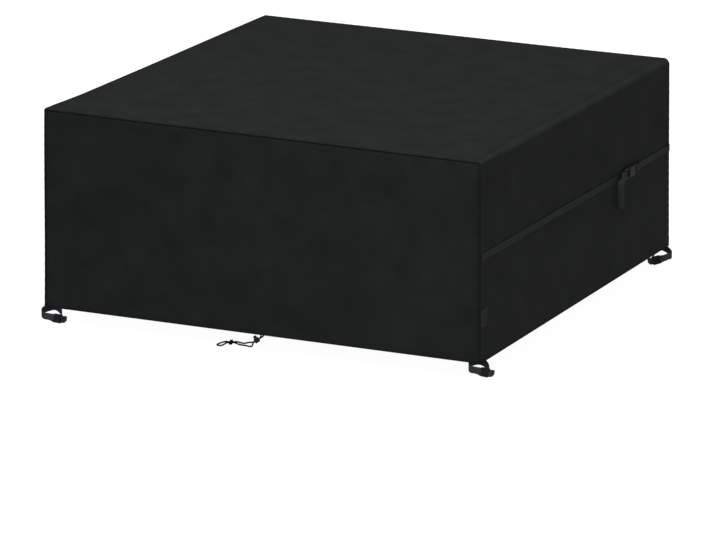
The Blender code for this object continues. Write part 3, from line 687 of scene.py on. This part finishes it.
def addEndPanel(name, node, end):
    # columns cross the panel, rows rise from the turned-up hem to a top edge that ends in a
    # quarter circle at both sides; the face draws in beside the seams by a bell of the distance
    seam = cover["seamRoll"] + cover["seamLap"]
    inset = seam + cover["seamGap"]
    half, top = halfWidth - inset, topZ - inset
    radius = float(foldRadius(end * halfDepth)) - seam
    angle = np.linspace(0, math.pi / 2, 9)
    level = np.linspace(half - radius, 0, 60)[1:]
    x = np.concatenate([half - radius * (1 - np.cos(angle)), level])
    head = np.concatenate([top - radius * (1 - np.sin(angle)), np.full(len(level), top)])
    x = np.concatenate([x, -x[-2::-1]])
    head = np.concatenate([head, head[-2::-1]])
    inward, hemHeight = hemProfile()
    base = hemZ + cover["hemRadius"]
    # the rows are finer in the lowest 6% and the highest 5% of the face
    share = np.concatenate([np.linspace(0, 0.06, 9)[:-1], np.linspace(0.06, 0.95, 44)[:-1],
                            np.linspace(0.95, 1, 14)])[:, None]
    face = base + share * (head - base)
    z = np.concatenate([np.tile(hemHeight[:, None], x.size), face])
    inward = np.concatenate([inward, np.zeros(len(face))])[:, None]
    fromTop = np.clip(head - z, 0, 1)
    fromSide = np.clip(half - np.abs(x), 0, 1)
    edge = np.minimum(fromTop, fromSide * np.ones_like(fromTop))
    deep, wide = cover["seamDraw"]
    drawn = deep * bell(edge, wide)
    creases = relief(x * -end, z, frontCreases) * np.clip(edge / cover["creaseFade"], 0, 1)
    gather = (pucker(x + 0 * z, fromTop, cover["topGathers"])
              + pucker(z + 0 * x, fromSide, cover["uprightGathers"]))
    out = np.where(inward == 0, creases + gather - drawn,
                   -inward - drawn * (fromSide < 4 * wide))
    grid = np.stack(np.broadcast_arrays(x, end * (halfDepth + out), z), axis=-1)
    uv = np.stack(np.broadcast_arrays(x, z), axis=-1)
    panel = gridMesh(name, settle(grid[:, ::end]), uv[:, ::end], oxfordCloth)
    # painted shade in the groove of the upright seams, and painted light a shade paler to one side
    strength, reach = shading["seamGrooveShade"]
    shine = -shading["endShine"] * end * x / halfWidth
    addPaintedShading(panel, (hemShade(z) - strength * bell(fromSide, reach) + shine)[:, ::end])
    addThickness(panel, cover["cloth"])
    dress(panel, "coated_oxford", node)


addWrapPanel()
addEndPanel("frontPanelCloth", "front_panel", -1)
addEndPanel("backPanelCloth", "back_panel", 1)
print("cloth panels made")

stitching = {
    "rows": (0.019, 0.025),  # above the hem's edge
    "pitch": 0.006,  # half again the real pitch, so that the stitches show
    "length": 0.0044,
    "thread": 0.0007,
    "lift": 0.0002,  # above the cloth
    "margin": 0.012,  # from the corners
}


def stitchRow(points, normals):
    # a small lozenge of thread at each point, long way along the row: three rings of four
    along = unit(np.gradient(points, axis=0))
    side = np.cross(along, normals)
    reach = np.array([-0.5, 0, 0.5]) * stitching["length"]
    thick = np.array([0.25, 1, 0.25]) * stitching["thread"] / 2
    turn = np.array([0, 1, 2, 3]) * math.pi / 2
    ring = (side[:, None, None] * np.cos(turn)[:, None]
            + normals[:, None, None] * np.sin(turn)[:, None]) * thick[:, None, None]
    return points[:, None, None] + along[:, None, None] * reach[:, None, None] + ring


def addHemStitching():
    # two level rows on each of the four sides, stitch after stitch an even pitch apart
    rings = []
    for height in stitching["rows"]:
        z = hemZ + height
        for axis, sign, half in ((1, -1, halfWidth), (1, 1, halfWidth), (0, 1, halfDepth),
                                 (0, -1, halfDepth)):
            reach = half - stitching["margin"]
            run = np.arange(-reach, reach, stitching["pitch"])
            points = np.zeros((len(run), 3))
            points[:, 1 - axis] = run
            points[:, axis] = sign * (halfDepth if axis else halfWidth)
            points[:, 2] = z
            normals = np.zeros((len(run), 3))
            normals[:, axis] = sign
            rings.append(stitchRow(settle(points) + normals * stitching["lift"], normals))
    rings = np.concatenate(rings)
    count = len(rings)
    index = np.arange(count * 12).reshape(count, 3, 4)
    after = np.roll(index, -1, axis=2)
    quads = np.stack([index[:, :-1], after[:, :-1], after[:, 1:], index[:, 1:]],
                     axis=-1).reshape(-1, 4)
    caps = np.concatenate([index[:, 0, ::-1], index[:, 2]])
    mesh = bpy.data.meshes.new("hemStitches")
    mesh.from_pydata(rings.reshape(-1, 3).tolist(), [], np.concatenate([quads, caps]).tolist())
    mesh.shade_smooth()
    mesh.materials.append(sewingThread)
    dress(addPiece("hemStitches", mesh), "coated_oxford")
    print(f"{count} hem stitches")


addHemStitching()

webbing = {
    "width": 0.025,
    "thick": 0.0016,
    "ribs": 5,
    "ribHeight": 0.00012,
    "clear": 0.0003,  # between the webbing and a buckle's bar
}


def pointsAround():
    # points in one section of the ribbed webbing
    return 2 * (4 * webbing["ribs"] + 1)


def bandMesh(name, points, across, width, thickness, step, material, ribs=0):
    # a flat section, its faces ribbed by a cosine across the width and its selvedges drawn thin,
    # carried along a smooth route
    joined = smoothRoute(np.concatenate([points, across], axis=1), step)
    path, across = joined[:, :3], joined[:, 3:]
    tangent = unit(np.gradient(path, axis=0))
    across = unit(across - tangent * np.sum(tangent * across, axis=1, keepdims=True))
    normal = np.cross(tangent, across)
    count = 4 * max(ribs, 2) + 1
    u = np.linspace(-1, 1, count)
    face = thickness / 2 - webbing["ribHeight"] + webbing["ribHeight"] * np.cos(
        u * math.pi * ribs) if ribs else np.full(count, thickness / 2)
    face = face * np.where(np.abs(u) == 1, 0.35, 1)
    flat = np.concatenate([u, u[::-1]]) * width / 2
    rise = np.concatenate([face, -face[::-1]])
    grid = (path[:, None] + across[:, None] * flat[:, None] + normal[:, None] * rise[:, None])
    run = runAlong(path)
    around = np.concatenate([flat, [flat[0]]])
    uv = np.stack(np.broadcast_arrays(around[None, :], run[:, None]), axis=-1)
    return gridMesh(name, grid[:, ::-1], uv[:, ::-1], material, wrapColumns=True, caps=True)


def barTurn(size):
    # a, n steps of webbing round a ladder bar at a = 0 from its outer to its inner side
    bar, wall = size["bar"] / 2, size["plate"] / 2
    away = webbing["thick"] / 2 + webbing["clear"]
    outer = [(0, wall + away), (bar, wall + away), (bar + 0.7 * away, wall + 0.7 * away),
             (bar + away, wall)]
    return outer + [(a, -n) for a, n in reversed(outer)]


def ladderLength(size, slots):
    # a ladder has a slot and a bar for each slot
    return slots * (size["slot"] + size["bar"])


def tangBar(size):
    # middle of the tang's outermost bar, measured from where the body starts
    return -ladderLength(size, size["tangSlots"]) - size["bar"] / 2


def socketBar(size):
    # middle of the socket's outermost bar, measured likewise
    return size["body"] + size["lip"] + ladderLength(size, size["socketSlots"]) - size["bar"] / 2


def onSide(y, z):
    # where the right side hangs
    return settle((halfWidth, y, z))


belt = {
    "drop": 0.331,  # from the top face to the belt's mid-line
    "stand": 0.0016,  # of that mid-line off the cloth
    "step": 0.003,
    "buckleAt": 0.390,
    "buckleStand": 0.001,
    "approach": 0.05,  # where the webbing starts to rise to the buckle
    # beyond a bar and off the ladder's wall: where the webbing passes behind the ladder, and
    # the back run's lapped end
    "dip": (0.012, 0.001),
    "lap": ((0.03, 0.0002), (0.014, 0.0006)),
    "paintedLightLength": 0.165,  # painted light on the tail: its length from the tip, and how far it takes to come in
    "wornEase": 0.015,
    "buckle": {"width": 0.038, "body": 0.044, "thick": 0.012, "plate": 0.005, "slot": 0.0075,
               "bar": 0.004, "lip": 0.001, "tangSlots": 3, "socketSlots": 2},
    # the loose tail: mm to the front, out and down, and degrees its width has turned outwards
    "tail": ((6, -0.2, 0, 0), (14, -2, 0, 0), (26, -5, 0, 3), (37, -2, 1.5, 25),
             (46, 3, 6, 55), (51.5, 5, 15, 80), (53.5, 4, 28, 90), (53, 4.6, 60, 90),
             (51, 4.8, 90, 88), (49, 5.4, 112, 85)),
}


def addBelt():
    # each run follows the side at one level and steps round a bar of the buckle; the front run
    # goes on into the tail, a route through its steps
    size = belt["buckle"]
    level = topZ - belt["drop"]
    wall = size["plate"] / 2
    middle = onSide(belt["buckleAt"] - tangBar(size), level)
    centre = middle + [size["thick"] / 2 + belt["buckleStand"], 0, 0]

    def world(a, n):
        return centre + np.array([n, a, 0.0])

    start = cover["seamRoll"] - halfDepth
    bar = tangBar(size)
    run = [onSide(y, level) + [belt["stand"], 0, 0]
           for y in np.linspace(start, belt["buckleAt"] - belt["approach"], 12)]
    turn = [world(bar + a, -n) for a, n in barTurn(size)]
    tip = turn[-1]
    tail = [tip + np.array([out, -front, -down]) / 1000 for front, out, down, _ in belt["tail"]]
    beyond, behind = belt["dip"]
    dip = [world(bar - beyond, -wall - behind)]
    points = np.array(run + dip + turn + tail)
    twist = np.radians([0] * (len(points) - len(tail)) + [row[3] for row in belt["tail"]])
    across = np.stack([np.sin(twist), 0 * twist, np.cos(twist)], axis=1)
    front = bandMesh("beltFrontWebbing", points, across, webbing["width"], webbing["thick"],
                     belt["step"], beltWebbing, webbing["ribs"])
    # painted light: the tail is paler towards its tip, which comes in along a smoothstep
    fromTip = belt["step"] * np.arange(len(front.data.vertices) // pointsAround())[::-1]
    worn = smoothstep((belt["paintedLightLength"] - fromTip) / belt["wornEase"])
    addPaintedShading(front, np.repeat(worn, pointsAround()))
    dress(front, "webbing", "belt_front_run")

    bar = socketBar(size)
    turn = [world(bar - a, n) for a, n in barTurn(size)]
    lap = [world(bar + a, wall + n) for a, n in belt["lap"]]
    points = lap + turn + [world(bar + beyond, -wall - behind)]
    points += [onSide(y, level) + [belt["stand"], 0, 0]
               for y in np.linspace(points[-1][1] + belt["approach"], -start, 6)]
    across = np.tile(up, (len(points), 1))
    back = bandMesh("beltBackWebbing", np.array(points), across, webbing["width"],
                    webbing["thick"], belt["step"], beltWebbing, webbing["ribs"])
    dress(back, "webbing", "belt_back_run")


legStraps = {
    "buckle": {"width": 0.032, "body": 0.022, "thick": 0.0085, "plate": 0.004, "slot": 0.0045,
               "bar": 0.003, "lip": 0.001, "tangSlots": 1, "socketSlots": 1},
    "step": 0.0015,
    # degrees round the loop: from the buckle's middle to its bars, from that middle to where the
    # ring starts, and over how many the ring comes to its own height
    "spread": 35,
    "open": 50,
    "ease": 30,
    # beyond a bar and off the ladder's wall: behind the tang's, the lapped end on the socket's,
    # and behind the socket's
    "tangAway": ((0.005, 0.0013),),
    "lap": ((0.007, 0.0012), (0.003, 0.0013)),
    "socketAway": ((0.004, 0.002), (0.008, 0.0045)),
    # the loose tail from its tip: mm beyond the bar, out and up, and degrees that it leans out
    "tail": ((16, 9.5, 6, 42), (10.5, 6.8, 3.5, 22), (5.5, 4.2, 0.6, 0)),
    # side, end, way round, buckle's angle, ladder's way, inset of the loop's middle, radius, the
    # buckle's distance from that middle, mm below the hem at 0, 45 to 315 degrees
    "corners": {
        "front_left": (-1, -1, 1, 110, 1, (20, 20), 36, 29, (26, 28, 34.5, 45, 34, 14, 16, 20)),
        "front_right": (1, -1, -1, -18, -1, (15, 21), 35, 28,
                        (25.5, 18.6, 18.5, 13, 8, 11, 27.5, 35)),
        "back_right": (1, 1, -1, 151, 1, (21, 20), 36, 29, (29, 30.5, 31.5, 44, 54, 38, 15, 18)),
        "back_left": (-1, 1, -1, 110, 1, (20, 20), 36, 29, (26, 28, 34, 44, 34, 14, 16, 20)),
    },
}


def addLegStrap(name):
    # the tail, a turn round the tang's bar, the loop, a turn round the socket's bar and the lap
    side, end, way, buckleAngle, ladder, inset, reach, flat, down = legStraps["corners"][name]
    size = legStraps["buckle"]
    radius = reach / 1000
    middle = settle((side * halfWidth, end * halfDepth, hemZ))
    middle = middle - np.array([side * inset[0], end * inset[1], 0]) / 1000
    diagonal = math.atan2(end, side)
    waves = np.fft.rfft(down) / 8 * (1, 2, 2, 2, 1)

    def onLoop(angle, reach):
        # an upright ring below the corner; its height is the sum of four waves and their mean
        # that runs through the eight values
        angle = np.asarray(angle)
        turns = np.exp(1j * np.multiply.outer(angle, np.arange(5)))
        rise = -(turns * waves).real.sum(axis=-1) / 1000
        heading = diagonal + way * angle
        return middle + np.stack([reach * np.cos(heading), reach * np.sin(heading), rise], axis=-1)

    at, spread = math.radians(buckleAngle), math.radians(legStraps["spread"])
    tangEnd = onLoop(at + ladder * spread, radius)
    socketEnd = onLoop(at - ladder * spread, radius)
    aAxis = unit(socketEnd - tangEnd)
    bAxis = unit(up - aAxis * (aAxis @ up))
    outward = onLoop(at, 1) - onLoop(at, 0)
    if np.cross(aAxis, bAxis) @ outward < 0:
        bAxis = -bAxis
    nAxis = np.cross(aAxis, bAxis)
    upward = bAxis * np.sign(bAxis[2])
    shift = size["body"] / 2 + (size["socketSlots"] - size["tangSlots"]) * size["slot"] / 2
    chordIn = radius * math.cos(spread) - flat / 1000
    centre = (tangEnd + socketEnd) / 2 - outward * chordIn - aAxis * shift

    def world(a, n):
        return centre + aAxis * a + nAxis * n

    wall = size["plate"] / 2
    bar = tangBar(size)
    tail = [world(bar - beyond / 1000, out / 1000) + upward * raised / 1000
            for beyond, out, raised, _ in legStraps["tail"]]
    lean = np.radians([row[3] for row in legStraps["tail"]])[:, None]
    tailAcross = upward * np.cos(lean) + nAxis * np.sin(lean)
    turn = [world(bar + a, n) for a, n in barTurn(size)]
    turn += [world(bar - a, -wall - n) for a, n in legStraps["tangAway"]]
    bar = socketBar(size)
    lap = [world(bar + a, wall + n) for a, n in legStraps["lap"]]
    lap += [world(bar - a, n) for a, n in barTurn(size)]
    lap += [world(bar + a, -wall - n) for a, n in legStraps["socketAway"]]
    away = np.linspace(legStraps["open"], 360 - legStraps["open"], 24)
    loop = onLoop(at + ladder * np.radians(away), radius)
    # both ends of the ring leave level with the buckle and ease to their own heights
    fromEnd = np.minimum(away - away[0], away[-1] - away)
    short = ((loop - centre) @ upward) * (1 - smoothstep(fromEnd / legStraps["ease"]))
    loop = loop - short[:, None] * upward
    points = np.concatenate([tail, turn, loop, lap])
    across = np.concatenate([tailAcross, np.tile(upward, (len(turn), 1)),
                             np.tile(up, (len(loop), 1)), np.tile(upward, (len(lap), 1))])
    strap = bandMesh(f"legWebbing.{name}", points, across, webbing["width"],
                     webbing["thick"], legStraps["step"], strapWebbing, webbing["ribs"])
    dress(strap, "webbing", f"leg_strap_{name}")


addBelt()
for corner in legStraps["corners"]:
    addLegStrap(corner)
print("webbing made")

seamTab = {
    "drop": 0.543,  # from the top face to its middle
    "height": 0.062,
    "reach": 0.038,
    "thick": 0.0012,
    "lift": 0.005,
    "step": 0.002,
    "sewnIn": (0.002, 0.001),  # what the seam and the cut edges take
}


def addSeamTab():
    # a flat strip that lifts off the side with the square of the distance from the seam
    share = np.linspace(0, 1, 6)
    even = np.ones_like(share)
    y = cover["seamLap"] - halfDepth + seamTab["reach"] * share
    z = (topZ - seamTab["drop"]) * even
    points = settle(np.stack([halfWidth * even, y, z], axis=1))
    points[:, 0] += seamTab["thick"] + seamTab["lift"] * share**2
    across = np.tile(up, (len(points), 1))
    tab = bandMesh("seamTabTape", points, across, seamTab["height"], seamTab["thick"],
                   seamTab["step"], satinTape)
    dress(tab, "woven_tape", "seam_tab")


addSeamTab()

# the moulded fittings keep their own solids
for node, piece in frame["nodes"].items():
    if "buckle" in node or "lock" in node:
        for slot in piece.material_slots:
            slot.material = acetalPlastic
print("fittings finished")

studio = {
    "floor": "#ffffff",
    "floorBase": 0.18,  # kept low, so that lamps and shadows hardly show on the glowing white
    "floorGlow": 0.97,
    "floorReach": 60,
    "world": "#ffffff",
    "worldStrength": 0.35,
    # name: watts, size in metres, place
    "lamps": {
        "key": (1125, 3.0, (1.1, -2.6, 8.1)),
        "fill": (60, 4.0, (-3.0, -6.0, 2.0)),
    },
}


def addStudio():
    # a level square floor, an even sky and the lamps, each turned towards the origin
    reach = studio["floorReach"]
    floorMesh = bpy.data.meshes.new("floor")
    floorMesh.from_pydata([(-reach, -reach, groundZ), (reach, -reach, groundZ),
                           (reach, reach, groundZ), (-reach, reach, groundZ)], [], [(0, 1, 2, 3)])
    floor = addPiece("floor", floorMesh)
    material, tree, shader = startMaterial("Floor, matt white board", {
        "Base Color": [studio["floorBase"]] * 3 + [1.0], "Roughness": 0.9,
        "Emission Color": linear(studio["floor"]), "Emission Strength": studio["floorGlow"]})
    floorMesh.materials.append(material)
    world = bpy.data.worlds.new("studio")
    bpy.context.scene.world = world
    world.use_nodes = True
    sky = world.node_tree.nodes["Background"]
    sky.inputs["Color"].default_value = linear(studio["world"])
    sky.inputs["Strength"].default_value = studio["worldStrength"]
    for name, (power, size, place) in studio["lamps"].items():
        light = bpy.data.lights.new(name, "AREA")
        light.energy = power
        light.size = size
        lamp = addPiece(name, light)
        lamp.location = place
        lamp.rotation_mode = "QUATERNION"
        lamp.rotation_quaternion = Vector(place).to_track_quat("Z", "Y")
    bpy.context.scene.view_settings.view_transform = "Standard"
    bpy.context.scene.view_settings.look = "None"


addStudio()
print("studio lit")
